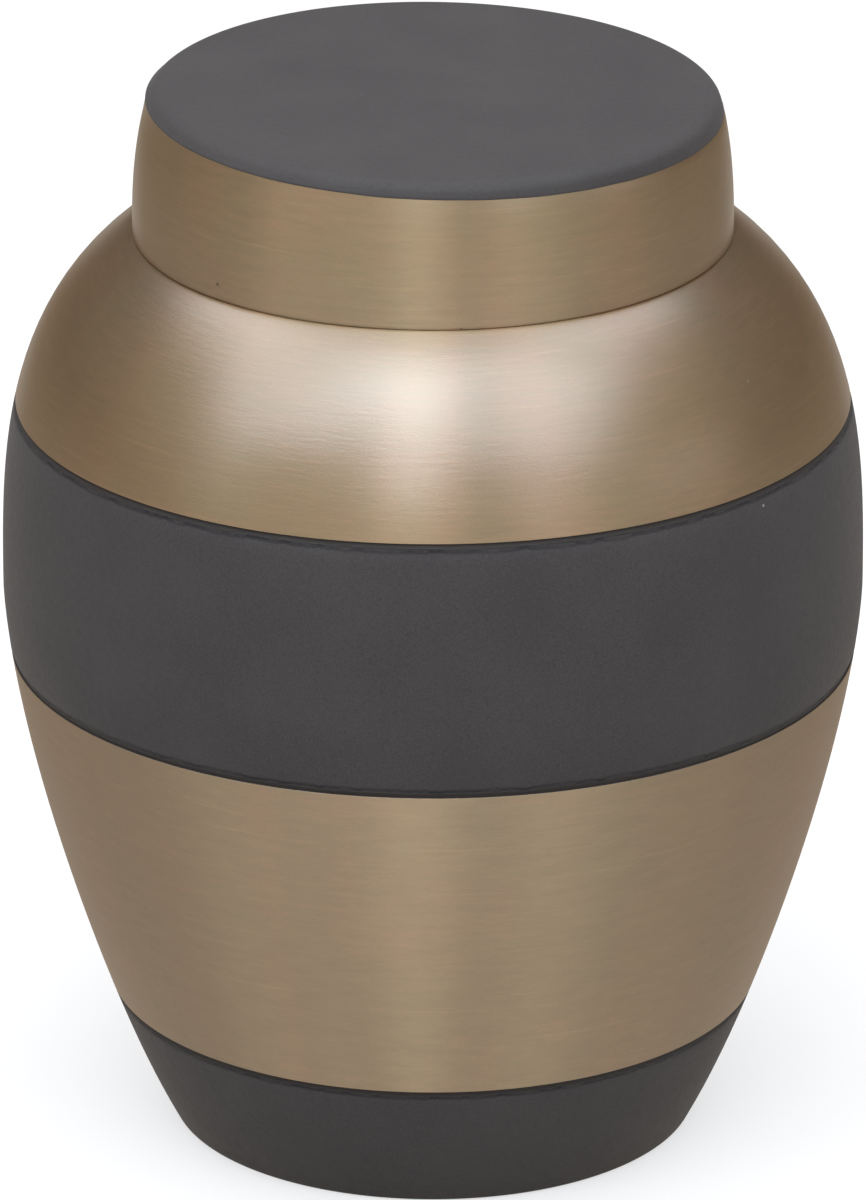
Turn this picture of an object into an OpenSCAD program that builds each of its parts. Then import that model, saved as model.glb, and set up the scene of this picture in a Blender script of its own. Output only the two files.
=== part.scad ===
// Small keepsake cremation urn: a hollow turned brass vessel with a lift-off lid.
// Every solid is turned about the Z axis. The underside of the foot is at Z = 0.

/* [Vessel outline] */
// Height of the flat seat that the lid rests on
seat_h = 64.9; // [58:0.1:80]
// How far the seat stands out past the lid's lower edge, all round
seat_lip = 0.15; // [0.05:0.05:0.6]
// Diameter at the belly, the widest place
belly_d = 59.6; // [52:0.1:72]
// Height of the belly
belly_h = 39.5; // [33:0.5:47]
// Diameter that the lower curve runs down to at the underside
foot_d = 36.3; // [32:0.1:44]
// Fullness of the lower curve, where 1 is a straight cone
lower_power = 1.48; // [1.2:0.02:2.2]
// Share of the lower curve that is the quick tuck at the foot
foot_tuck = 0.05; // [0:0.01:0.2]
// How low the tuck stays, where a higher value keeps it nearer the underside
tuck_power = 9.4; // [5:0.2:14]
// Squareness of the shoulder curve near the belly
shoulder_power = 3.02; // [2:0.02:4]
// Squareness of the shoulder curve near the seat
seat_power = 2.65; // [2:0.05:4]
// Radius on the outer edge of the underside
foot_round = 0.5; // [0.2:0.1:1.2]

/* [Painted bands] */
// Height of the upper edge of the middle band
band_top = 52.75; // [48:0.05:56]
// Height of the lower edge of the middle band
band_bottom = 34.6; // [28:0.05:40]
// Height of the upper edge of the foot band
foot_band_top = 10.1; // [5:0.05:16]
// Width of the groove that each painted edge is laid in
groove_w = 0.36; // [0.2:0.02:0.8]
// Depth of that groove
groove_depth = 0.12; // [0.05:0.01:0.3]

/* [Vessel wall] */
// Thickness of the vessel's wall
wall = 1.6; // [1:0.1:2.4]
// Thickness of the floor above the recess in the underside
floor_t = 1.8; // [1:0.1:3]
// Radius where the floor meets the wall inside
floor_round = 2.5; // [1:0.1:4]
// Width of the ring that the urn stands on
foot_ring_w = 2.6; // [1.5:0.1:4]
// Depth of the recess inside that ring
recess_depth = 0.8; // [0.3:0.1:1.5]

/* [Mouth] */
// Width of the flat seat, from its outer edge in to the bore of the mouth
seat_w = 3.3; // [2.6:0.1:5]
// Depth of the collar that lines the mouth
collar_depth = 5; // [3.5:0.1:8]
// Thickness of that collar
collar_wall = 1.4; // [1:0.1:1.8]
// Thickness of the seat plate round the mouth
seat_t = 1.8; // [1.2:0.1:3]

/* [Lid] */
// Diameter of the lid at its lower edge
lid_d = 41.3; // [36:0.1:46]
// Height of the lid above the seat
lid_h = 10.1; // [8:0.1:14]
// How far the side draws in on the radius by its top
lid_draw = 1.1; // [0.2:0.05:2]
// Fullness of the side, where 1 is a straight cone
lid_power = 2.5; // [1.5:0.1:4]
// Radius on the top edge
lid_round = 1.3; // [0.6:0.1:2]
// Chamfer on the lower edge, which shows as a thin dark seam
seam_chamfer = 0.15; // [0.05:0.01:0.3]
// Thickness of the lid's side
lid_wall = 1.6; // [1:0.1:2.4]
// Thickness of the lid's top
lid_top_t = 1.6; // [1:0.1:2.4]
// Thickness of the flange that rests on the seat
flange_t = 1.6; // [1:0.1:2.4]
// Depth that the spigot reaches into the mouth
spigot_depth = 4; // [2.5:0.1:6]
// Thickness of the spigot
spigot_wall = 1.3; // [0.8:0.1:2]
// Clearance all round between the spigot and the mouth
spigot_fit = 0.2; // [0.1:0.05:0.4]

/* [Hidden] */
$fn = 96;
bronze = "#9C876A";
curve_step = 1.2;                   // height between the points of a curve
arc_steps = 6;                      // points on an edge's quarter round
slope_step = 0.01;                  // height over which a slope is measured
belly_r = belly_d / 2;
foot_r = foot_d / 2;
lid_r = lid_d / 2;
seat_r = lid_r + seat_lip;
mouth_r = seat_r - seat_w;
spigot_r = mouth_r - spigot_fit;
floor_top = recess_depth + floor_t;
// The shoulder curve would close on the axis at this height above the belly.
crown_rise = (seat_h - belly_h) / pow(1 - pow(seat_r / belly_r, seat_power), 1 / shoulder_power);

// Radius of the vessel's outside at height h
function side_r(h) = h < belly_h ? lower_r(1 - h / belly_h) : shoulder_r((h - belly_h) / crown_rise);
function lower_r(t) =
    belly_r - (belly_r - foot_r) * ((1 - foot_tuck) * pow(t, lower_power) + foot_tuck * pow(t, tuck_power));
function shoulder_r(t) = belly_r * pow(1 - pow(t, shoulder_power), 1 / seat_power);
function side_slope(h) = (side_r(h + slope_step) - side_r(h - slope_step)) / (2 * slope_step);

// Radius of the vessel's inside, a wall's thickness in from the outside
function inside_r(h) = side_r(h) - wall * sqrt(1 + pow(side_slope(h), 2));

// Radius of the lid's side at height h above the seat
function lid_side_r(h) = lid_r - lid_draw * pow(h / lid_h, lid_power);

// Evenly spaced heights from one to another, both included
function heights(from, to) =
    let (steps = max(2, ceil(abs(to - from) / curve_step)))
    [for (i = [0:steps]) from + (to - from) * i / steps];
function outside(from, to) = [for (h = heights(from, to)) [side_r(h), h]];

// The flat bottom of a groove between two heights
function groove(from, to) =
    let (lip = (to - from) / 4)
    [for (h = [from + lip, to - lip]) [side_r(h) - groove_depth, h]];

// Points of an arc about a centre, from one angle to another
function arc(centre, radius, from, to) =
    [for (i = [0:arc_steps]) let (a = from + (to - from) * i / arc_steps)
        centre + radius * [cos(a), sin(a)]];

// Outline of the rounded lower edge, which meets the side's lean without a corner
foot_lean = atan(side_slope(slope_step));
foot_tangent = foot_round * tan((90 - foot_lean) / 2);
function foot_edge() = arc([foot_r - foot_tangent, foot_round], foot_round, -90, -foot_lean);

function vessel_outside() = concat(
    foot_edge(),
    outside(foot_round, foot_band_top - groove_w),
    groove(foot_band_top - groove_w, foot_band_top),
    outside(foot_band_top, band_bottom),
    groove(band_bottom, band_bottom + groove_w),
    outside(band_bottom + groove_w, band_top - groove_w),
    groove(band_top - groove_w, band_top),
    outside(band_top, seat_h));

// Down the mouth and its collar, then down the inside of the wall to the floor
function vessel_inside() =
    let (wall_foot = floor_top + floor_round)
    concat(
        [[mouth_r, seat_h],
         [mouth_r, seat_h - collar_depth],
         [mouth_r + collar_wall, seat_h - collar_depth],
         [mouth_r + collar_wall, seat_h - seat_t]],
        [for (h = heights(seat_h - seat_t, wall_foot)) [inside_r(h), h]],
        arc([inside_r(wall_foot) - floor_round, wall_foot], floor_round, -foot_lean, -90),
        [[0, floor_top]]);

function vessel_underside() =
    let (recess_r = foot_r - foot_ring_w)
    [[0, recess_depth], [recess_r - recess_depth, recess_depth], [recess_r, 0]];

module vessel() {
    color(bronze)
        rotate_extrude()
            polygon(concat(vessel_outside(), vessel_inside(), vessel_underside()));
}

// The side up to its rounded edge, in heights above the seat
lid_lean = atan((lid_side_r(lid_h - lid_round - slope_step) - lid_side_r(lid_h - lid_round)) / slope_step);
lid_side_top = lid_h - lid_round * (1 - sin(lid_lean));
function lid_outside() = concat(
    [[lid_r - seam_chamfer, 0]],
    [for (h = heights(seam_chamfer, lid_side_top)) [lid_side_r(h), h]],
    arc([lid_side_r(lid_side_top) - lid_round * cos(lid_lean), lid_h - lid_round],
        lid_round, lid_lean, 90),
    [[0, lid_h]]);

// Under the top, down the side, over the flange and down the spigot
function lid_inside() =
    let (bore_r = spigot_r - spigot_wall)
    concat(
        [[0, lid_h - lid_top_t]],
        [for (h = heights(lid_h - lid_top_t, flange_t)) [lid_side_r(h) - lid_wall, h]],
        [[bore_r, flange_t],
         [bore_r, -spigot_depth],
         [spigot_r, -spigot_depth],
         [spigot_r, 0]]);

module lid() {
    color(bronze)
        translate([0, 0, seat_h])
            rotate_extrude()
                polygon(concat(lid_outside(), lid_inside()));
}

vessel();
lid();
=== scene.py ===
import math

import bmesh
import bpy
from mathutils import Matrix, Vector, noise


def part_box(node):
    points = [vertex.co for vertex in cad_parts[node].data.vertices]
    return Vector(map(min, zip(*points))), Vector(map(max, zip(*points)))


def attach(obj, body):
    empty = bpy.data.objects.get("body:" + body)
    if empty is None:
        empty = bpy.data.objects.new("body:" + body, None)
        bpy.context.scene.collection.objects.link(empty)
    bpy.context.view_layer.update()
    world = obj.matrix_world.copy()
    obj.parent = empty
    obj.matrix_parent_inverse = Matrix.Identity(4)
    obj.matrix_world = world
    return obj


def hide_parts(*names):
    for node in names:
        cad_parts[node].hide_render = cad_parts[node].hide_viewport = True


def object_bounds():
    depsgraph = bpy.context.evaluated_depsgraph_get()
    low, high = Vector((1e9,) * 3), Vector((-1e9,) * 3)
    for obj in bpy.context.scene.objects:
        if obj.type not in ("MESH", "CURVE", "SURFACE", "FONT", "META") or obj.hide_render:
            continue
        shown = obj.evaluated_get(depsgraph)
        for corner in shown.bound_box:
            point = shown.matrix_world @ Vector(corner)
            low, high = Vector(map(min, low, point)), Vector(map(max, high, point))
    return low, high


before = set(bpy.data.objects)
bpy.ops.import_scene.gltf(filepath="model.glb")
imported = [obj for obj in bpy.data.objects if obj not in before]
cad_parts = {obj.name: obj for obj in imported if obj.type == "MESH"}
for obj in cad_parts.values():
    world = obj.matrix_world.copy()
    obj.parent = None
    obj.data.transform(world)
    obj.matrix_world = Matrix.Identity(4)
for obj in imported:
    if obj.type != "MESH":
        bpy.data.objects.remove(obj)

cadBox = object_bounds()
mm = 0.001
print("frame loaded:", sorted(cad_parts))


def hexColour(code):
    # sRGB hex to the linear values that a shader socket takes
    values = [int(code[i:i + 2], 16) / 255 for i in (1, 3, 5)]
    linear = [v / 12.92 if v <= 0.04045 else ((v + 0.055) / 1.055) ** 2.4 for v in values]
    return (*linear, 1.0)


def addNode(tree, kind, settings=None, links=None):
    # settings holds the node's own properties and its sockets' values, links its incoming sockets
    node = tree.nodes.new(kind)
    for name, value in (settings or {}).items():
        if isinstance(name, str) and hasattr(node, name):
            setattr(node, name, value)
        else:
            node.inputs[name].default_value = value
    for name, source in (links or {}).items():
        tree.links.new(source, node.inputs[name])
    return node


def newMaterial(name):
    material = bpy.data.materials.new(name)
    material.use_nodes = True
    material.node_tree.nodes.clear()
    return material, material.node_tree


def heights(low, high, step):
    # evenly spaced heights from one to another, both included
    count = max(2, math.ceil(abs(high - low) / step))
    return [low + (high - low) * i / count for i in range(count + 1)]


def arc(centreR, centreH, radius, fromAngle, toAngle, count=8):
    angles = [math.radians(fromAngle + (toAngle - fromAngle) * i / count) for i in range(count + 1)]
    return [(centreR + radius * math.cos(a), centreH + radius * math.sin(a)) for a in angles]


# lengths in the two finishes are in mm; a pair is the low and high end of a noise's range in use
bronzeLook = {
    "warm": "#C1A17E",            # bronze toning, where it leans to red
    "cool": "#B6A17C",            # and where it leans to green
    "toning": (1.20, 1.80),       # over which it goes from warm to cool
    "barScale": (7.0, 0.02),      # upright bars of toning: features a radian, and a mm of rise
    "blotchScale": 0.09,          # blotches a mm
    "bandTurn": 3.0,              # redder or greener strokes of the brush, features a radian
    "bandWidth": 0.45,
    "edgeTint": "#CDB190",        # colour of the metal at a glancing angle
    "metallic": 0.78,             # the toning is partly pigment, so it isn't all bare metal
    "roughness": 0.54,
    "roughnessSpread": 0.05,      # either side, from brush line to brush line
    "anisotropic": 1.0,
    "lineWidth": 0.11,            # a brush line; real ones are half this, too fine to show
    "lineLength": 0.9,            # along the turn
    "lineShare": 0.60,            # strength beside the streaks
    "streakWidth": 0.45,          # a band of brush lines that cut deeper
    "streakLength": 3.0,
    "grainSize": 0.12,
    "grainShare": 0.60,
    "brushing": (0.82, 1.38),
    "shadeSpread": 0.10,          # how much paler and darker the brushing makes the metal
    "bumpDepth": 0.010,
    "scratchTurn": (0.20, 0.55, 0.0),
    "scratchScale": (0.11, 0.11, 7.0),
    "scratches": (0.73, 0.80),
    "scratchShade": 0.10,         # how much paler a hairline scratch is
    "lacquer": 1.0,               # clear coat
    "lacquerIor": 2.2,
    "lacquerRoughness": 0.30,
    "stain": "#5E4433",
    "dust": "#DAD6CC",
}

slateLook = {
    "colour": "#3D3A3A",
    "dustColour": "#464342",
    "mottle": (0.585, 0.865),     # over which it goes from one colour to the other
    "cloudScale": 0.12,           # clouds a mm
    "cloudShare": 0.45,           # strength beside the grain
    "roughness": 0.62,
    "roughnessSpread": 0.04,
    "gloss": 0.28,                # specular level
    "sheen": 0.075,               # pale bloom of the matt coat at a glancing angle
    "peelSize": 0.55,             # one dimple of the sprayed coat
    "peelDepth": 0.013,
    "peel": (0.3, 0.7),
    "grainSize": 0.12,
    "grainDepth": 0.25,           # beside the dimples
    "dust": "#8E8E8E",
    # in the groove: browner where the paint lies thin, and darker as painted shade in the hollow
    "thinPaintShadeColour": "#322E2B",
    "thinPaintShadeEnd": (0.65, 0.77),      # where the thin paint and the painted shade in the groove end: mm from the metal, and the wander
    # the dark pool beside the paint's ridge: partly pooled paint and partly a painted shadow under the
    # ridge
    "poolShadowColour": "#252325",
    "poolShadowMiddle": 0.88,           # of the dark pool and its painted shadow, in the same measure
    "poolShadowHalfWidth": (0.07, 0.20),
    "poolShadowLength": 1.3,            # usual length of a pool of paint with its painted shadow
    "poolShadowWander": 0.70,
    "poolShadowBreaks": (0.36, 0.60),
    "poolShadowLeast": 0.40,            # strength where a pool and its painted shadow are faint
}

spotCore = 0.4                    # share of a small spot's half-width that has its full colour


def roundCoordinates(tree):
    # for a turned piece: object coordinates in mm, direction from the axis, and the way up the wall
    place = addNode(tree, "ShaderNodeTexCoord")
    inMm = addNode(tree, "ShaderNodeVectorMath", {"operation": "SCALE", "Scale": 1 / mm},
                   {0: place.outputs["Object"]})
    flat = addNode(tree, "ShaderNodeVectorMath", {"operation": "MULTIPLY", 1: (1, 1, 0)},
                   {0: inMm.outputs[0]})
    direction = addNode(tree, "ShaderNodeVectorMath", {"operation": "NORMALIZE"}, {0: flat.outputs[0]})
    radius = addNode(tree, "ShaderNodeVectorMath", {"operation": "LENGTH"}, {0: flat.outputs[0]})
    split = addNode(tree, "ShaderNodeSeparateXYZ", None, {0: inMm.outputs[0]})
    # height less radius keeps growing up the wall, on the steep and the flat parts alike
    along = addNode(tree, "ShaderNodeMath", {"operation": "SUBTRACT"},
                    {0: split.outputs["Z"], 1: radius.outputs["Value"]})
    return inMm.outputs[0], direction.outputs[0], along.outputs[0]


def turnedNoise(tree, direction, along, turnScale, riseScale, detail, roughness=0.5):
    # noise stretched round the turn: turnScale in features a radian, riseScale in features a mm
    turn = addNode(tree, "ShaderNodeVectorMath", {"operation": "SCALE", "Scale": turnScale},
                   {0: direction})
    rise = addNode(tree, "ShaderNodeMath", {"operation": "MULTIPLY", 1: riseScale}, {0: along})
    lift = addNode(tree, "ShaderNodeCombineXYZ", None, {"Z": rise.outputs[0]})
    spot = addNode(tree, "ShaderNodeVectorMath", {"operation": "ADD"},
                   {0: turn.outputs[0], 1: lift.outputs[0]})
    texture = addNode(tree, "ShaderNodeTexNoise",
                      {"Scale": 1.0, "Detail": detail, "Roughness": roughness},
                      {"Vector": spot.outputs[0]})
    return texture.outputs["Fac"]


def spotsMask(tree, inMm, spots):
    # 1 within each small round spot and 0 elsewhere
    mask = None
    for radius, azimuth, height, size in spots:
        a = math.radians(azimuth)
        middle = (radius * math.sin(a), -radius * math.cos(a), height)
        reach = addNode(tree, "ShaderNodeVectorMath", {"operation": "DISTANCE", 1: middle}, {0: inMm})
        spot = addNode(tree, "ShaderNodeMapRange", {"From Min": size, "From Max": size * spotCore},
                       {"Value": reach.outputs["Value"]}).outputs[0]
        if mask is None:
            mask = spot
        else:
            mask = addNode(tree, "ShaderNodeMath", {"operation": "MAXIMUM"}, {0: mask, 1: spot}).outputs[0]
    return mask


def brushedBronze(name, piece):
    # Bronze-toned brass, turned and brushed round on the lathe, then lacquered. Brush lines run
    # round it, so a light smears into an upright bar, and the lacquer adds a paler gleam of its own.
    look = bronzeLook
    radius = piece["patternRadius"]
    material, tree = newMaterial(name)
    inMm, direction, along = roundCoordinates(tree)
    lines = turnedNoise(tree, direction, along, radius / look["lineLength"], 1 / look["lineWidth"], 2)
    streaks = turnedNoise(tree, direction, along, radius / look["streakLength"],
                          1 / look["streakWidth"], 3)
    bars = turnedNoise(tree, direction, along, *look["barScale"], 2)
    blotches = addNode(tree, "ShaderNodeTexNoise", {"Scale": look["blotchScale"], "Detail": 2.0},
                       {"Vector": inMm})
    bands = turnedNoise(tree, direction, along, look["bandTurn"], 1 / look["bandWidth"], 3, 0.7)
    slowTint = addNode(tree, "ShaderNodeMath", {"operation": "ADD"},
                       {0: bars, 1: blotches.outputs["Fac"]})
    tint = addNode(tree, "ShaderNodeMath", {"operation": "ADD"}, {0: slowTint.outputs[0], 1: bands})
    tintMask = addNode(tree, "ShaderNodeMapRange",
                       {"From Min": look["toning"][0], "From Max": look["toning"][1]},
                       {"Value": tint.outputs[0]})
    metalColour = addNode(tree, "ShaderNodeMix",
                          {"data_type": "RGBA", 6: hexColour(look["warm"]), 7: hexColour(look["cool"])},
                          {0: tintMask.outputs[0]})
    specks = addNode(tree, "ShaderNodeTexNoise", {"Scale": 1 / look["grainSize"], "Detail": 1.0},
                     {"Vector": inMm})
    strokes = addNode(tree, "ShaderNodeMath", {"operation": "MULTIPLY_ADD", 1: look["lineShare"]},
                      {0: lines, 2: streaks})
    brushing = addNode(tree, "ShaderNodeMath", {"operation": "MULTIPLY_ADD", 1: look["grainShare"]},
                       {0: specks.outputs["Fac"], 2: strokes.outputs[0]})
    brushingRange = {"From Min": look["brushing"][0], "From Max": look["brushing"][1]}
    shade = addNode(tree, "ShaderNodeMapRange",
                    {**brushingRange,
                     "To Min": 1 - look["shadeSpread"], "To Max": 1 + look["shadeSpread"]},
                    {"Value": brushing.outputs[0]})
    # a few hairline scratches across the brushing, from handling
    slanted = addNode(tree, "ShaderNodeMapping",
                      {"Rotation": look["scratchTurn"], "Scale": look["scratchScale"]},
                      {"Vector": inMm})
    hairs = addNode(tree, "ShaderNodeTexNoise", {"Scale": 1.0, "Detail": 0.0},
                    {"Vector": slanted.outputs[0]})
    scratches = addNode(tree, "ShaderNodeMapRange",
                        {"From Min": look["scratches"][0], "From Max": look["scratches"][1],
                         "To Max": look["scratchShade"]},
                        {"Value": hairs.outputs["Fac"]})
    marked = addNode(tree, "ShaderNodeMath", {"operation": "ADD"},
                     {0: shade.outputs[0], 1: scratches.outputs[0]})
    shaded = addNode(tree, "ShaderNodeVectorMath", {"operation": "SCALE"},
                     {0: metalColour.outputs[2], "Scale": marked.outputs[0]})
    stained = addNode(tree, "ShaderNodeMix", {"data_type": "RGBA", 7: hexColour(look["stain"])},
                      {0: spotsMask(tree, inMm, piece["stains"]), 6: shaded.outputs[0]})
    dusty = addNode(tree, "ShaderNodeMix", {"data_type": "RGBA", 7: hexColour(look["dust"])},
                    {0: spotsMask(tree, inMm, piece["dust"]), 6: stained.outputs[2]})
    roughness = addNode(tree, "ShaderNodeMapRange",
                        {**brushingRange,
                         "To Min": look["roughness"] - look["roughnessSpread"],
                         "To Max": look["roughness"] + look["roughnessSpread"]},
                        {"Value": brushing.outputs[0]})
    relief = addNode(tree, "ShaderNodeBump", {"Strength": 1.0, "Distance": look["bumpDepth"] * mm},
                     {"Height": brushing.outputs[0]})
    # the tangent runs round the axis, and a quarter turn stands the smear upright
    grain = addNode(tree, "ShaderNodeTangent", {"direction_type": "RADIAL", "axis": "Z"})
    shader = addNode(tree, "ShaderNodeBsdfPrincipled",
                     {"Metallic": look["metallic"], "Specular Tint": hexColour(look["edgeTint"]),
                      "Anisotropic": look["anisotropic"], "Anisotropic Rotation": 0.25,
                      "Coat Weight": look["lacquer"], "Coat IOR": look["lacquerIor"],
                      "Coat Roughness": look["lacquerRoughness"]},
                     {"Base Color": dusty.outputs[2], "Roughness": roughness.outputs[0],
                      "Normal": relief.outputs[0], "Coat Normal": relief.outputs[0],
                      "Tangent": grain.outputs[0]})
    addNode(tree, "ShaderNodeOutputMaterial", None, {"Surface": shader.outputs[0]})
    return material


def pooledPaintAndShadow(tree, inMm, direction, colour, radius, grooveHeights):
    # in a groove the paint is browner where it lies thin, with painted shade darkening the hollow, and it
    # dries dark and uneven where it pools, which also paints the shadow under the paint's ridge
    look = slateLook
    split = addNode(tree, "ShaderNodeSeparateXYZ", None, {0: inMm})
    nearest = None
    for height in grooveHeights:
        off = addNode(tree, "ShaderNodeMath", {"operation": "SUBTRACT", 1: height}, {0: split.outputs["Z"]})
        apart = addNode(tree, "ShaderNodeMath", {"operation": "ABSOLUTE"}, {0: off.outputs[0]}).outputs[0]
        if nearest is None:
            nearest = apart
        else:
            nearest = addNode(tree, "ShaderNodeMath", {"operation": "MINIMUM"},
                              {0: nearest, 1: apart}).outputs[0]
    turn = addNode(tree, "ShaderNodeVectorMath",
                   {"operation": "SCALE", "Scale": radius / look["poolShadowLength"]}, {0: direction})
    wander = addNode(tree, "ShaderNodeTexNoise", {"Scale": 1.0, "Detail": 3.0, "Roughness": 0.6},
                     {"Vector": turn.outputs[0]})
    wide = addNode(tree, "ShaderNodeMath", {"operation": "MULTIPLY_ADD", 1: look["poolShadowWander"]},
                   {0: wander.outputs["Fac"], 2: nearest})
    inGroove = addNode(tree, "ShaderNodeMapRange",
                       {"From Min": look["thinPaintShadeEnd"][1], "From Max": look["thinPaintShadeEnd"][0]},
                       {"Value": wide.outputs[0]})
    # painted shade: the bottom of the groove is darker, and browner where the paint lies thin
    thinAndShaded = addNode(tree, "ShaderNodeMix", {"data_type": "RGBA", 7: hexColour(look["thinPaintShadeColour"])},
                   {0: inGroove.outputs[0], 6: colour})
    offPoolShadow = addNode(tree, "ShaderNodeMath", {"operation": "SUBTRACT", 1: look["poolShadowMiddle"]},
                      {0: wide.outputs[0]})
    fromPoolShadow = addNode(tree, "ShaderNodeMath", {"operation": "ABSOLUTE"}, {0: offPoolShadow.outputs[0]})
    poolShadowStrength = addNode(tree, "ShaderNodeMapRange",
                    {"From Min": look["poolShadowBreaks"][0], "From Max": look["poolShadowBreaks"][1],
                     "To Min": look["poolShadowLeast"]},
                    {"Value": wander.outputs["Fac"]})
    # the dark pool is partly paint that pooled and partly a painted shadow under the paint's ridge
    poolAndShadow = addNode(tree, "ShaderNodeMapRange",
                   {"From Min": look["poolShadowHalfWidth"][1], "From Max": look["poolShadowHalfWidth"][0]},
                   {"Value": fromPoolShadow.outputs[0], "To Max": poolShadowStrength.outputs[0]})
    return addNode(tree, "ShaderNodeMix", {"data_type": "RGBA", 7: hexColour(look["poolShadowColour"])},
                   {0: poolAndShadow.outputs[0], 6: thinAndShaded.outputs[2]}).outputs[2]


def slatePaint(name, piece, grooveHeights=()):
    # Satin slate enamel, sprayed: an even dark grey with a faint orange peel, and no sharp gleam.
    look = slateLook
    material, tree = newMaterial(name)
    inMm, direction = roundCoordinates(tree)[:2]
    grain = addNode(tree, "ShaderNodeTexNoise", {"Scale": 1 / look["grainSize"], "Detail": 2.0},
                    {"Vector": inMm})
    peel = addNode(tree, "ShaderNodeTexNoise", {"Scale": 1 / look["peelSize"], "Detail": 1.0},
                   {"Vector": inMm})
    clouds = addNode(tree, "ShaderNodeTexNoise", {"Scale": look["cloudScale"], "Detail": 2.0},
                     {"Vector": inMm})
    mottle = addNode(tree, "ShaderNodeMath", {"operation": "MULTIPLY_ADD", 1: look["cloudShare"]},
                     {0: clouds.outputs["Fac"], 2: grain.outputs["Fac"]})
    mask = addNode(tree, "ShaderNodeMapRange",
                   {"From Min": look["mottle"][0], "From Max": look["mottle"][1]},
                   {"Value": mottle.outputs[0]})
    colour = addNode(tree, "ShaderNodeMix",
                     {"data_type": "RGBA", 6: hexColour(look["colour"]), 7: hexColour(look["dustColour"])},
                     {0: mask.outputs[0]})
    paint = colour.outputs[2]
    if grooveHeights:
        # adds painted shade in the grooves and a painted shadow under the paint's ridge, with thin and
        # pooled paint
        paint = pooledPaintAndShadow(tree, inMm, direction, paint, piece["patternRadius"], grooveHeights)
    dusty = addNode(tree, "ShaderNodeMix", {"data_type": "RGBA", 7: hexColour(look["dust"])},
                    {0: spotsMask(tree, inMm, piece["paintDust"]), 6: paint})
    height = addNode(tree, "ShaderNodeMath", {"operation": "MULTIPLY_ADD", 1: look["grainDepth"]},
                     {0: grain.outputs["Fac"], 2: peel.outputs["Fac"]})
    relief = addNode(tree, "ShaderNodeBump", {"Strength": 1.0, "Distance": look["peelDepth"] * mm},
                     {"Height": height.outputs[0]})
    roughness = addNode(tree, "ShaderNodeMapRange",
                        {"From Min": look["peel"][0], "From Max": look["peel"][1],
                         "To Min": look["roughness"] - look["roughnessSpread"],
                         "To Max": look["roughness"] + look["roughnessSpread"]},
                        {"Value": peel.outputs["Fac"]})
    shader = addNode(tree, "ShaderNodeBsdfPrincipled",
                     {"IOR": 1.5, "Specular IOR Level": look["gloss"], "Sheen Weight": look["sheen"]},
                     {"Base Color": dusty.outputs[2], "Roughness": roughness.outputs[0],
                      "Normal": relief.outputs[0]})
    addNode(tree, "ShaderNodeOutputMaterial", None, {"Surface": shader.outputs[0]})
    return material


turning = {
    "steps": 384,                 # round the turn
    "curveStep": 1.0,             # mm of height between the points of a curve
    "sharpAngle": 38,             # degrees, past which an edge is drawn sharp
    "weld": 0.0002,               # mm
    "slopeStep": 0.01,            # mm of height over which a slope is measured
}


def turnOutline(outline, isPainted):
    # a closed outline, in mm of radius and height, spun round Z; paint goes on where isPainted says
    mesh = bmesh.new()
    points = [mesh.verts.new((r * mm, 0, h * mm)) for r, h in outline]
    edges = [mesh.edges.new(pair) for pair in zip(points, points[1:])]
    bmesh.ops.spin(mesh, geom=points + edges, cent=(0, 0, 0), axis=(0, 0, 1), angle=math.tau,
                   steps=turning["steps"], use_merge=True)
    bmesh.ops.remove_doubles(mesh, verts=mesh.verts, dist=turning["weld"] * mm)
    bmesh.ops.recalc_face_normals(mesh, faces=mesh.faces)
    for face in mesh.faces:
        middle = face.calc_center_median()
        face.material_index = isPainted(middle.xy.length / mm, middle.z / mm)
        face.smooth = True
    limit = math.radians(turning["sharpAngle"])
    for edge in mesh.edges:
        edge.smooth = edge.calc_face_angle(0) < limit
    return mesh


def finishPiece(mesh, name, materials, node):
    data = bpy.data.meshes.new(name)
    mesh.to_mesh(data)
    mesh.free()
    for material in materials:
        data.materials.append(material)
    piece = bpy.data.objects.new(name, data)
    bpy.context.scene.collection.objects.link(piece)
    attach(piece, "root")
    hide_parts(node)
    print(name, "made:", len(data.polygons), "faces")


def waver(angle, size, radius, seed):
    # a steady unevenness round the turn, with bumps of about the size given in mm
    scale = radius / size
    return noise.noise(Vector((math.cos(angle) * scale, math.sin(angle) * scale, seed)))


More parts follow.
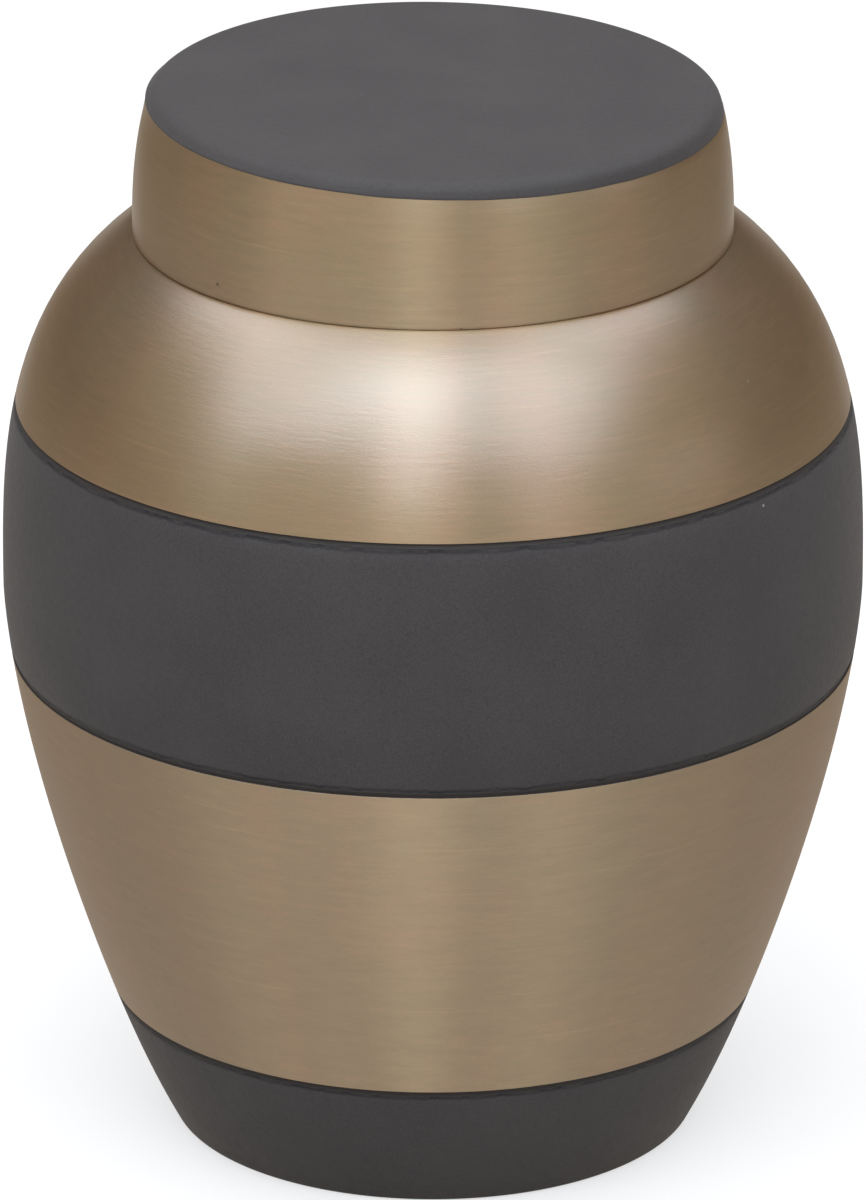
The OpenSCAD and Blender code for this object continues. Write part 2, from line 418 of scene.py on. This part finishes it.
# all in mm, except what its note says otherwise
vesselShape = {
    "bellyHeight": 39.5,
    "footRadius": 18.15,
    "seatRadius": 20.8,
    "lowerPower": 1.48,           # fullness of the lower curve
    "footTuck": 0.05,             # share of that curve that is the quick tuck at the foot
    "tuckPower": 9.4,
    "shoulderPower": 3.02,        # squareness of the shoulder, near the belly
    "seatPower": 2.65,            # and near the seat
    "footRound": 0.5,
    "footClear": 0.1,             # from that rounding up to the first point of the plain side
    "bandTop": 52.75,             # painted bands
    "bandBottom": 34.6,
    "footBandTop": 10.1,
    "grooveWidth": 0.36,
    "grooveDepth": 0.12,
    "wall": 1.6,
    "floorTop": 2.6,
    "floorRound": 2.5,
    "ringWidth": 2.6,             # the ring that the urn stands on
    "recessDepth": 0.8,
    "recessSlope": 1.4,           # width of the soft slope between the recess and the ring
    "mouthRadius": 17.5,
    "mouthEase": 0.15,            # small chamfer
    "collarDepth": 5.0,
    "collarWall": 1.4,
    "seatThickness": 1.8,
    "edgeFrom": 0.55,             # uneven stretch of the paint's edge, in widths of the groove
    "edgeTo": 1.45,
    "edgeRise": 0.055,            # how far the ridge of paint wanders up and down
    "edgeSwell": 0.030,           # how far it stands out or sinks
    "beadLength": 1.6,            # a bead of paint
    "beadSwell": 0.7,             # its share of the swelling
    "driftLength": 9.0,           # the slower wander
    "driftSwell": 0.3,
    "insideStep": 2.5,            # between the points of the inside
    "patternRadius": 28.0,        # usual radius, for patterns that run round the vessel
    # small flaws: radius, azimuth in degrees from the front, height and half-width
    "stains": [(21.63, -4.75, 64.37, 0.09), (21.52, -4.10, 64.47, 0.07), (21.42, -3.40, 64.58, 0.08),
               (21.30, -2.75, 64.69, 0.07)],
    "dust": [(26.17, 54.5, 59.34, 0.13)],
    "paintDust": [(29.05, 50.25, 51.62, 0.13), (29.62, -24.0, 43.1, 0.08), (27.9, 12.0, 33.9, 0.07)],
}
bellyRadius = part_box("vessel")[1].x / mm
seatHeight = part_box("vessel")[1].z / mm

# from the recess underneath to the ring: mm out from the ring's inner edge, and depths of the recess
recessProfile = ((-0.8, 0.9375), (-0.15, 0.15), (0.0, 0.0375), (0.15, 0.0))
# the painted groove from the metal to the plain side: widths along it, and depths in
grooveProfile = ((0.04, 0.30), (0.10, 0.90), (0.20, 1.0), (0.60, 0.70), (0.88, 0.38), (1.00, 0.18),
                 (1.10, 0.42), (1.24, 0.34), (1.60, 0.0))
# the metal's own edge, rounded by the brushing: mm back from the groove, and mm in
bevelProfile = ((0.04, 0.0), (0.01, 0.004), (0.0, 0.02))
# the seat's outer edge: mm in from its radius, and mm down
seatEdgeProfile = ((0.02, 0.03), (0.10, 0.0))
clearOfEdge = 0.12                # mm from a groove or the seat to the plain metal side


def sideRadius(h):
    # outside radius of the vessel at a height
    s = vesselShape
    if h < s["bellyHeight"]:
        t = 1 - h / s["bellyHeight"]
        curve = (1 - s["footTuck"]) * t ** s["lowerPower"] + s["footTuck"] * t ** s["tuckPower"]
        return bellyRadius - (bellyRadius - s["footRadius"]) * curve
    closing = (1 - (s["seatRadius"] / bellyRadius) ** s["seatPower"]) ** (1 / s["shoulderPower"])
    crown = (seatHeight - s["bellyHeight"]) / closing
    t = (h - s["bellyHeight"]) / crown
    return bellyRadius * (1 - t ** s["shoulderPower"]) ** (1 / s["seatPower"])


def sideSlope(h):
    step = turning["slopeStep"]
    return (sideRadius(h + step) - sideRadius(h - step)) / (2 * step)


def insideRadius(h):
    return sideRadius(h) - vesselShape["wall"] * math.hypot(1, sideSlope(h))


def side(low, high):
    return [(sideRadius(h), h) for h in heights(low, high, turning["curveStep"])]


def groove(metalEdge, paintSide):
    # paintSide is 1 where the paint lies above the metal, and -1 where it lies below
    width = vesselShape["grooveWidth"] * paintSide
    depth = vesselShape["grooveDepth"]
    return [(sideRadius(metalEdge + width * w) - depth * d, metalEdge + width * w)
            for w, d in grooveProfile]


def bandEnd(metalEdge, paintSide):
    # where the plain painted side begins
    return metalEdge + vesselShape["grooveWidth"] * paintSide * grooveProfile[-1][0]


def bevelledEdge(metalEdge, paintSide):
    return [(sideRadius(metalEdge - back * paintSide) - inwards, metalEdge - back * paintSide)
            for back, inwards in bevelProfile]


def isVesselPainted(radius, h):
    # the outer face of the bands, and the whole underside
    s = vesselShape
    inBand = h < s["footBandTop"] or s["bandBottom"] < h < s["bandTop"]
    outside = radius > sideRadius(max(h, 0)) - s["wall"] / 2
    return inBand and (outside or h <= s["recessDepth"] + turning["slopeStep"])


def buildVessel():
    s = vesselShape
    lean = math.degrees(math.atan(sideSlope(turning["slopeStep"])))
    tangent = s["footRound"] * math.tan(math.radians((90 - lean) / 2))
    recessRadius = s["footRadius"] - s["ringWidth"]
    top, bottom, foot = s["bandTop"], s["bandBottom"], s["footBandTop"]
    # the underside: a recess that slopes softly down to the ring
    outline = [(0, s["recessDepth"]), (recessRadius - s["recessSlope"], s["recessDepth"])]
    outline += [(recessRadius + out, s["recessDepth"] * share) for out, share in recessProfile]
    outline += arc(s["footRadius"] - tangent, s["footRound"], s["footRound"], -90, -lean)
    # the outside, from the foot to the seat
    outline += side(s["footRound"] + s["footClear"], bandEnd(foot, -1))
    outline += groove(foot, -1)[::-1] + bevelledEdge(foot, -1)[::-1]
    outline += side(foot + clearOfEdge, bottom - clearOfEdge)
    outline += bevelledEdge(bottom, 1) + groove(bottom, 1) + side(bandEnd(bottom, 1), bandEnd(top, -1))
    outline += groove(top, -1)[::-1] + bevelledEdge(top, -1)[::-1]
    outline += side(top + clearOfEdge, seatHeight - clearOfEdge)
    # the seat, the mouth and its collar
    collarRadius = s["mouthRadius"] + s["collarWall"]
    outline += [(s["seatRadius"] - inwards, seatHeight - down) for inwards, down in seatEdgeProfile]
    outline += [(s["mouthRadius"] + s["mouthEase"], seatHeight),
                (s["mouthRadius"], seatHeight - s["mouthEase"]),
                (s["mouthRadius"], seatHeight - s["collarDepth"]),
                (collarRadius, seatHeight - s["collarDepth"]),
                (collarRadius, seatHeight - s["seatThickness"])]
    # the inside, down to the floor
    wallFoot = s["floorTop"] + s["floorRound"]
    outline += [(insideRadius(h), h)
                for h in heights(seatHeight - s["seatThickness"], wallFoot, s["insideStep"])]
    outline += arc(insideRadius(wallFoot) - s["floorRound"], wallFoot, s["floorRound"], -lean, -90,
                   count=5)
    outline.append((0, s["floorTop"]))
    mesh = turnOutline(outline, isVesselPainted)
    roughenPaintEdges(mesh, [(foot, -1), (bottom, 1), (top, -1)])
    materials = [brushedBronze("BrushedBronzeVessel", s),
                 slatePaint("SlateEnamelVessel", s, [foot, bottom, top])]
    finishPiece(mesh, "urnVessel", materials, "vessel")


def roughenPaintEdges(mesh, edges):
    # the paint pools along each groove and dries with a ridge that wanders, in its own way for
    # each groove because of its seed
    s = vesselShape
    for seed, (metalEdge, paintSide) in enumerate(edges):
        for vertex in mesh.verts:
            h = vertex.co.z / mm
            share = (h - metalEdge) / s["grooveWidth"] * paintSide
            radius = math.hypot(vertex.co.x, vertex.co.y) / mm
            onOutside = radius >= sideRadius(h) - s["wall"] / 2
            if not (onOutside and s["edgeFrom"] < share < s["edgeTo"]):
                continue
            angle = math.atan2(vertex.co.y, vertex.co.x)
            bead = waver(angle, s["beadLength"], radius, seed * 7.3)
            drift = waver(angle, s["driftLength"], radius, seed * 3.1 + 50)
            fade = math.sin(math.pi * (share - s["edgeFrom"]) / (s["edgeTo"] - s["edgeFrom"]))
            vertex.co.z += (bead + drift) * s["edgeRise"] * fade * mm
            swell = bead * s["beadSwell"] - drift * s["driftSwell"]
            grow = 1 + swell * s["edgeSwell"] * fade / radius
            vertex.co.x *= grow
            vertex.co.y *= grow


# all in mm, except what its note says otherwise
lidShape = {
    "draw": 1.18,                 # how far the side draws in by its top
    "power": 2.5,                 # fullness of the side
    "round": 1.3,
    "seam": 0.30,                 # the lower edge is eased, which leaves a fine dark line at the joint
    "wall": 1.6,
    "topThickness": 1.6,
    "flange": 1.6,
    "spigotRadius": 17.3,
    "spigotWall": 1.3,
    "spigotEase": 0.2,            # small chamfer
    "paintLine": 9.0,             # height of the paint's edge above the seat
    "coat": 0.02,                 # thickness of the paint
    "metalStop": 0.03,            # where the points of the metal end below the paint's edge
    "paintStart": 0.16,           # and where those of the paint begin above it
    "lean": 0.0154,               # the top was faced a little out of true, as rise over run
    "paintLean": 0.0145,          # and the paint was laid a little lower on one side
    "lineReach": 0.35,            # how far from the paint's edge that slant dies away
    "rippleLength": 2.5,          # unevenness of the paint's edge
    "rippleRise": 0.03,
    "skin": 1.0,                  # how deep the outside is taken to be
    "sideStep": 0.5,              # between the points of the side, the top and the inside
    "topStep": 1.5,
    "insideStep": 2.0,
    "easeHeight": 0.25,           # height at which the eased lower edge has become the side
    "patternRadius": 20.5,        # usual radius, for patterns that run round the lid
    # small flaws: radius, azimuth in degrees from the front, height and half-width
    "stains": [(20.62, -44.75, 66.1, 0.17), (20.60, -44.1, 66.02, 0.09), (20.62, 5.25, 65.0, 0.13)],
    "dust": [(20.55, 31.0, 69.4, 0.07)],
    "paintDust": [(17.81, -170.1, 75.2, 0.13), (10.67, -172.9, 75.1, 0.11), (19.95, 3.2, 74.1, 0.10)],
}
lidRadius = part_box("lid")[1].x / mm
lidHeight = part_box("lid")[1].z / mm - seatHeight
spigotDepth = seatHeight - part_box("lid")[0].z / mm

# the eased lower edge: mm in from the lid's radius, and mm up
lidEdgeProfile = ((0.12, 0.04), (0.02, 0.14))
# the paint's edge, which stands proud of the metal: thicknesses of the coat, and mm up
coatProfile = ((0.0, 0.0), (0.9, 0.03), (0.7, 0.10))


def lidSide(h):
    # outside radius of the lid at a height above the seat
    return lidRadius - lidShape["draw"] * (h / lidHeight) ** lidShape["power"]


def isLidPainted(radius, h):
    # never as low as the inside of the top
    return h > seatHeight + max(lidShape["paintLine"], lidHeight - lidShape["topThickness"])


def buildLid():
    s = lidShape
    start = lidHeight - s["round"]
    step = turning["slopeStep"]
    lean = math.atan((lidSide(start - step) - lidSide(start)) / step)
    sideTop = lidHeight - s["round"] * (1 - math.sin(lean))
    edge = arc(lidSide(sideTop) - s["round"] * math.cos(lean), lidHeight - s["round"], s["round"],
               math.degrees(lean), 90, count=12)
    curve = [(lidSide(h), h) for h in heights(s["easeHeight"], sideTop, s["sideStep"])][:-1] + edge
    (r0, h0), (r1, h1) = next(pair for pair in zip(curve, curve[1:]) if pair[1][1] > s["paintLine"])
    meetRadius = r0 + (r1 - r0) * (s["paintLine"] - h0) / (h1 - h0)
    # up the side from the joint to the paint, and on over the top
    outline = [(lidRadius - s["seam"], 0)] + [(lidRadius - inwards, up) for inwards, up in lidEdgeProfile]
    outline += [point for point in curve if point[1] < s["paintLine"] - s["metalStop"]]
    outline += [(meetRadius + s["coat"] * share, s["paintLine"] + up) for share, up in coatProfile]
    outline += [point for point in curve if point[1] > s["paintLine"] + s["paintStart"]]
    outline += [(r, lidHeight) for r in heights(outline[-1][0], 0, s["topStep"])[1:]]
    # the inside, down to the flange and the bored spigot
    boreRadius = s["spigotRadius"] - s["spigotWall"]
    outline += [(0, lidHeight - s["topThickness"])]
    outline += [(lidSide(h) - s["wall"], h)
                for h in heights(lidHeight - s["topThickness"], s["flange"], s["insideStep"])]
    outline += [(boreRadius, s["flange"]), (boreRadius, -spigotDepth),
                (s["spigotRadius"] - s["spigotEase"], -spigotDepth),
                (s["spigotRadius"], s["spigotEase"] - spigotDepth),
                (s["spigotRadius"], 0), (lidRadius - s["seam"], 0)]
    mesh = turnOutline([(r, h + seatHeight) for r, h in outline], isLidPainted)
    leanLid(mesh)
    materials = [brushedBronze("BrushedBronzeLid", s), slatePaint("SlateEnamelLid", s)]
    finishPiece(mesh, "urnLid", materials, "lid")


def leanLid(mesh):
    # the lower edge stays level on the seat; the lean grows with height
    s = lidShape
    for vertex in mesh.verts:
        h = vertex.co.z / mm - seatHeight
        if h <= 0:
            continue
        share = (h / lidHeight) ** 2
        onOutside = math.hypot(vertex.co.x, vertex.co.y) / mm > lidSide(lidHeight) - s["skin"]
        nearLine = math.exp(-((h - s["paintLine"]) / s["lineReach"]) ** 2) if onOutside else 0
        angle = math.atan2(vertex.co.y, vertex.co.x)
        ripple = waver(angle, s["rippleLength"], lidRadius, 11.0) * s["rippleRise"]
        vertex.co.x += s["lean"] * h * share * mm
        vertex.co.z -= vertex.co.x * s["lean"] * share
        vertex.co.z += (ripple * mm - vertex.co.x * s["paintLean"]) * nearLine


buildVessel()
buildLid()

# metres and degrees; a gleam is what the metal sees of the floor or the room
studio = {
    "elevation": 21.36,           # that the camera looks down
    "distance": 0.8333,
    "lens": 360.0,
    "aim": (cadBox[0].z + cadBox[1].z) / 2,
    "roomLight": 0.40,            # dim room, as matt surfaces see it
    "roomGleam": 0.08,
    "roomGleamColour": "#FFC8A0",  # the walls of the room, above the floor
    "floorSize": 3.0,
    "floorSink": 0.02 * mm,       # clear of the foot ring
    "paperShade": (0.60, 1.0),    # share of plain white in the paper, near the urn and far off
    "paperReach": (0.08, 0.40),
    "bounceColour": "#BCBCBC",    # the paper, as matt surfaces see it
    "floorGleam": 0.685,          # brightest part of the floor
    "floorGleamAt": (0, -0.085, 0),
    "floorGleamFar": 0.27,
    "floorGleamReach": 0.58,      # from the brightest part to the dim far floor
    "floorGleamBend": 0.5,
    "floorGleamBack": 0.68,       # the paper behind the urn
    "backNear": (0.42, 1.05),     # radians from straight behind over which it fades, near the urn
    "backNearReach": (0.30, 0.46),
    "backFar": (0.22, 0.50),      # and farther off
    "floorGleamColour": "#FFF2E2",
    "sideGleamColour": "#FFDCB0", # the dim sides of the floor are warmer than the paper
    "sideGleamBlend": 0.30,       # rise in brightness that goes from the one to the other
    "lampColour": "#F0F6FF",
    "sideLampColour": "#FAEEE2",  # softboxes at the sides, warmed by the room
    "sideFrom": 70,               # azimuths between which a softbox counts as at the side
    "sideTo": 150,
    # azimuth, elevation, distance, width, height and brightness; azimuth 0 is the camera's side,
    # and positive is to its right
    "softboxes": {
        "overhead": (-9, 62, 0.70, 1.50, 0.62, 1.53),
        "overheadBack": (180, 72, 0.70, 1.10, 0.44, 1.60),
        "key": (-6, 44, 0.80, 0.22, 0.80, 2.39),
        "keyTop": (-18, 66, 0.75, 0.30, 0.34, 1.48),
        "stripRight": (30, 30, 0.80, 0.16, 0.60, 0.97),
        "fillRight": (46, 40, 0.80, 0.20, 0.50, 0.43),
        "stripLeft": (-62, 34, 0.80, 0.24, 0.66, 0.40),
        "fillLeft": (-40, 50, 0.80, 0.20, 0.40, 1.10),
        "topLeft": (-72, 62, 0.75, 0.30, 0.34, 0.42),
        "topRight": (66, 62, 0.75, 0.50, 0.34, 1.09),
        "lowRight": (72, 12, 0.80, 0.40, 0.20, 0.58),
        "overLeft": (-120, 54, 0.70, 0.42, 0.30, 0.95),
        "overRight": (125, 54, 0.70, 0.30, 0.26, 0.45),
    },
}


def placeAround(item, azimuth, elevation, distance):
    # set off from the middle of the urn, and turned to look at it
    a, e = math.radians(azimuth), math.radians(elevation)
    aim = Vector((0, 0, studio["aim"]))
    away = Vector((math.sin(a) * math.cos(e), -math.cos(a) * math.cos(e), math.sin(e)))
    item.location = away * distance + aim
    item.rotation_euler = (aim - item.location).to_track_quat("-Z", "Y").to_euler()
    bpy.context.scene.collection.objects.link(item)


def softbox(name, azimuth, elevation, distance, width, height, brightness):
    lamp = bpy.data.lights.new(name, "AREA")
    lamp.shape = "RECTANGLE"
    lamp.size = width
    lamp.size_y = height
    lamp.energy = math.pi * width * height * brightness
    atSide = studio["sideFrom"] < abs(azimuth) < studio["sideTo"]
    lamp.color = hexColour(studio["sideLampColour" if atSide else "lampColour"])[:3]
    placeAround(bpy.data.objects.new(name, lamp), azimuth, elevation, distance)


def floorGleam(tree, place):
    # bright in front of the urn and straight behind it, and dimmer where the softboxes don't reach
    s = studio
    away = addNode(tree, "ShaderNodeVectorMath", {"operation": "DISTANCE", 1: s["floorGleamAt"]},
                   {0: place.outputs["Object"]})
    share = addNode(tree, "ShaderNodeMath", {"operation": "DIVIDE", 1: s["floorGleamReach"]},
                    {0: away.outputs["Value"]})
    bend = addNode(tree, "ShaderNodeMath", {"operation": "POWER", 1: s["floorGleamBend"]},
                   {0: share.outputs[0]})
    fall = addNode(tree, "ShaderNodeMapRange",
                   {"To Min": s["floorGleam"], "To Max": s["floorGleamFar"]},
                   {"Value": bend.outputs[0]})
    split = addNode(tree, "ShaderNodeSeparateXYZ", None, {0: place.outputs["Object"]})
    sideways = addNode(tree, "ShaderNodeMath", {"operation": "ABSOLUTE"}, {0: split.outputs["X"]})
    turn = addNode(tree, "ShaderNodeMath", {"operation": "ARCTAN2"},
                   {0: sideways.outputs[0], 1: split.outputs["Y"]})
    behind = addNode(tree, "ShaderNodeMapRange",
                     {"From Min": s["backNear"][1], "From Max": s["backNear"][0],
                      "To Max": s["floorGleamBack"]}, {"Value": turn.outputs[0]})
    near = addNode(tree, "ShaderNodeMapRange",
                   {"From Min": s["backNearReach"][0], "From Max": s["backNearReach"][1],
                    "To Min": 1.0, "To Max": 0.0}, {"Value": away.outputs["Value"]})
    back = addNode(tree, "ShaderNodeMath", {"operation": "MULTIPLY"},
                   {0: behind.outputs[0], 1: near.outputs[0]})
    straight = addNode(tree, "ShaderNodeMapRange",
                       {"From Min": s["backFar"][1], "From Max": s["backFar"][0],
                        "To Max": s["floorGleamBack"]}, {"Value": turn.outputs[0]})
    nearOrStraight = addNode(tree, "ShaderNodeMath", {"operation": "MAXIMUM"},
                             {0: straight.outputs[0], 1: back.outputs[0]})
    level = addNode(tree, "ShaderNodeMath", {"operation": "MAXIMUM"},
                    {0: fall.outputs[0], 1: nearOrStraight.outputs[0]})
    bright = addNode(tree, "ShaderNodeMapRange",
                     {"From Min": s["floorGleamFar"],
                      "From Max": s["floorGleamFar"] + s["sideGleamBlend"]},
                     {"Value": level.outputs[0]})
    tint = addNode(tree, "ShaderNodeMix",
                   {"data_type": "RGBA", 6: hexColour(s["sideGleamColour"]),
                    7: hexColour(s["floorGleamColour"])}, {0: bright.outputs[0]})
    return addNode(tree, "ShaderNodeEmission", None,
                   {"Color": tint.outputs[2], "Strength": level.outputs[0]})


def paleFloor():
    # Matt white paper. The camera sees it white with the urn's shadow, and the metal sees its gleam.
    s = studio
    mesh = bmesh.new()
    bmesh.ops.create_grid(mesh, x_segments=1, y_segments=1, size=s["floorSize"])
    bmesh.ops.translate(mesh, verts=mesh.verts, vec=(0, 0, -s["floorSink"]))
    data = bpy.data.meshes.new("floor")
    mesh.to_mesh(data)
    mesh.free()
    floor = bpy.data.objects.new("floor", data)
    bpy.context.scene.collection.objects.link(floor)
    material, tree = newMaterial("MattWhitePaper")
    ray = addNode(tree, "ShaderNodeLightPath")
    paper = addNode(tree, "ShaderNodeBsdfDiffuse", {"Color": hexColour("#FFFFFF")})
    white = addNode(tree, "ShaderNodeEmission", {"Strength": 1.0})
    place = addNode(tree, "ShaderNodeTexCoord")
    out = addNode(tree, "ShaderNodeVectorMath", {"operation": "LENGTH"}, {0: place.outputs["Object"]})
    fade = addNode(tree, "ShaderNodeMapRange",
                   {"From Min": s["paperReach"][0], "From Max": s["paperReach"][1],
                    "To Min": s["paperShade"][0], "To Max": s["paperShade"][1]},
                   {"Value": out.outputs["Value"]})
    seen = addNode(tree, "ShaderNodeMixShader", None,
                   {0: fade.outputs[0], 1: paper.outputs[0], 2: white.outputs[0]})
    gleam = floorGleam(tree, place)
    bounce = addNode(tree, "ShaderNodeBsdfDiffuse", {"Color": hexColour(s["bounceColour"])})
    notSeen = addNode(tree, "ShaderNodeMixShader", None,
                      {0: ray.outputs["Is Glossy Ray"], 1: bounce.outputs[0], 2: gleam.outputs[0]})
    mix = addNode(tree, "ShaderNodeMixShader", None,
                  {0: ray.outputs["Is Camera Ray"], 1: notSeen.outputs[0], 2: seen.outputs[0]})
    addNode(tree, "ShaderNodeOutputMaterial", None, {"Surface": mix.outputs[0]})
    data.materials.append(material)


def softRoom():
    # an even light for matt surfaces, a dim warm one in the metal, and white to the camera
    world = bpy.data.worlds.new("softRoom")
    world.use_nodes = True
    tree = world.node_tree
    tree.nodes.clear()
    white = hexColour("#FFFFFF")
    ray = addNode(tree, "ShaderNodeLightPath")
    matt = addNode(tree, "ShaderNodeBackground", {"Color": white, "Strength": studio["roomLight"]})
    gleam = addNode(tree, "ShaderNodeBackground",
                    {"Color": hexColour(studio["roomGleamColour"]), "Strength": studio["roomGleam"]})
    backdrop = addNode(tree, "ShaderNodeBackground", {"Color": white, "Strength": 1.0})
    lit = addNode(tree, "ShaderNodeMixShader", None,
                  {0: ray.outputs["Is Glossy Ray"], 1: matt.outputs[0], 2: gleam.outputs[0]})
    mix = addNode(tree, "ShaderNodeMixShader", None,
                  {0: ray.outputs["Is Camera Ray"], 1: lit.outputs[0], 2: backdrop.outputs[0]})
    addNode(tree, "ShaderNodeOutputWorld", None, {"Surface": mix.outputs[0]})
    bpy.context.scene.world = world


paleFloor()
softRoom()
for name, setting in studio["softboxes"].items():
    softbox(name, *setting)
bpy.context.scene.view_settings.view_transform = "Standard"

camera = bpy.data.objects.new("camera", bpy.data.cameras.new("camera"))
camera.data.lens = studio["lens"]
camera.data.sensor_width = 36.0
placeAround(camera, 0, studio["elevation"], studio["distance"])
bpy.context.scene.camera = camera
print("studio set")
